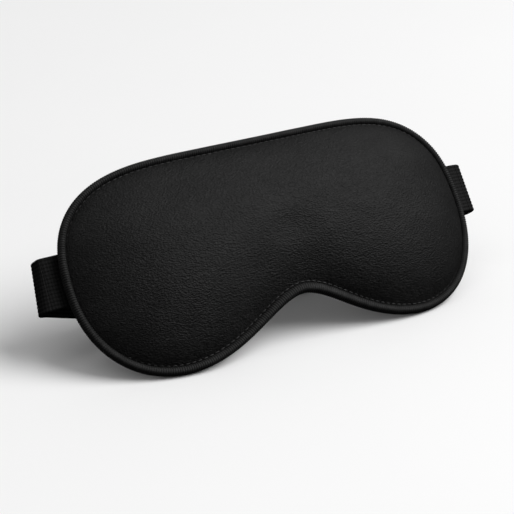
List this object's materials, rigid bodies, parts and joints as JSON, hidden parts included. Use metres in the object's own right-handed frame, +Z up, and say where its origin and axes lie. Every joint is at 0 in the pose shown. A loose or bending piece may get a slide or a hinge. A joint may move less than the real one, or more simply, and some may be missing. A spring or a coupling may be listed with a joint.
{
  "type": "sleep eye mask",
  "caption": "Padded contoured sleep eye mask with bound edge and adjustable elastic head strap, leaning on its strap.",
  "frame": {"origin": "middle of the footprint, on the surface that the mask stands on", "axes": "+X towards the mask's side, to the viewer's right from the front; +Y backwards, from the front to the strap; +Z up. The mask leans back 40 degrees about X"},
  "size_m": [0.2376, 0.0726, 0.0824],
  "materials": {
    "cover_fabric": "matt fine pebbled weave, faint sheen",
    "interlining": "opaque felt",
    "foam": "soft open-cell foam",
    "lining_fabric": "brushed soft knit",
    "binding_tape": "ribbed fold-over tape",
    "elastic": "ribbed woven elastic",
    "thread": "twisted polyester thread",
    "moulded_plastic": "smooth moulded, light sheen"
  },
  "bodies": {
    "mask": {"front_cover": "cover_fabric", "interlining": "interlining", "foam_pad": "foam", "back_lining": "lining_fabric", "edge_binding": "binding_tape", "left_strap_end": "elastic", "right_strap_end": "elastic", "left_seam_stitches": "thread", "right_seam_stitches": "thread"},
    "side_folds": {"left_strap_fold": "elastic", "right_strap_fold": "elastic"},
    "rear_strap": {"long_strap": "elastic", "long_strap_return": "elastic", "short_strap": "elastic", "ring_tack": "thread"},
    "ring": {"ring": "moulded_plastic", "long_strap_turn": "elastic"},
    "slider": {"slider": "moulded_plastic", "slider_loop": "elastic", "slider_tack": "thread"}
  },
  "joints": [
    {"name": "strap_swing", "type": "hinge", "parent": "mask", "child": "side_folds", "pos_m": [0, 0.01053, 0.03815], "axis": [1, 0, 0], "range_deg": [0, 45]},
    {"name": "strap_stretch", "type": "slide", "parent": "side_folds", "child": "rear_strap", "axis": [0, 1, 0], "range_m": [0, 0.06]},
    {"name": "ring_turn", "type": "hinge", "parent": "rear_strap", "child": "ring", "pos_m": [0.0459, 0.02309, 0.01457], "axis": [0, 0.6428, 0.766], "range_deg": [-12, 12]},
    {"name": "strap_adjust", "type": "slide", "parent": "rear_strap", "child": "slider", "axis": [-1, 0, 0], "range_m": [0, 0.035]}
  ]
}
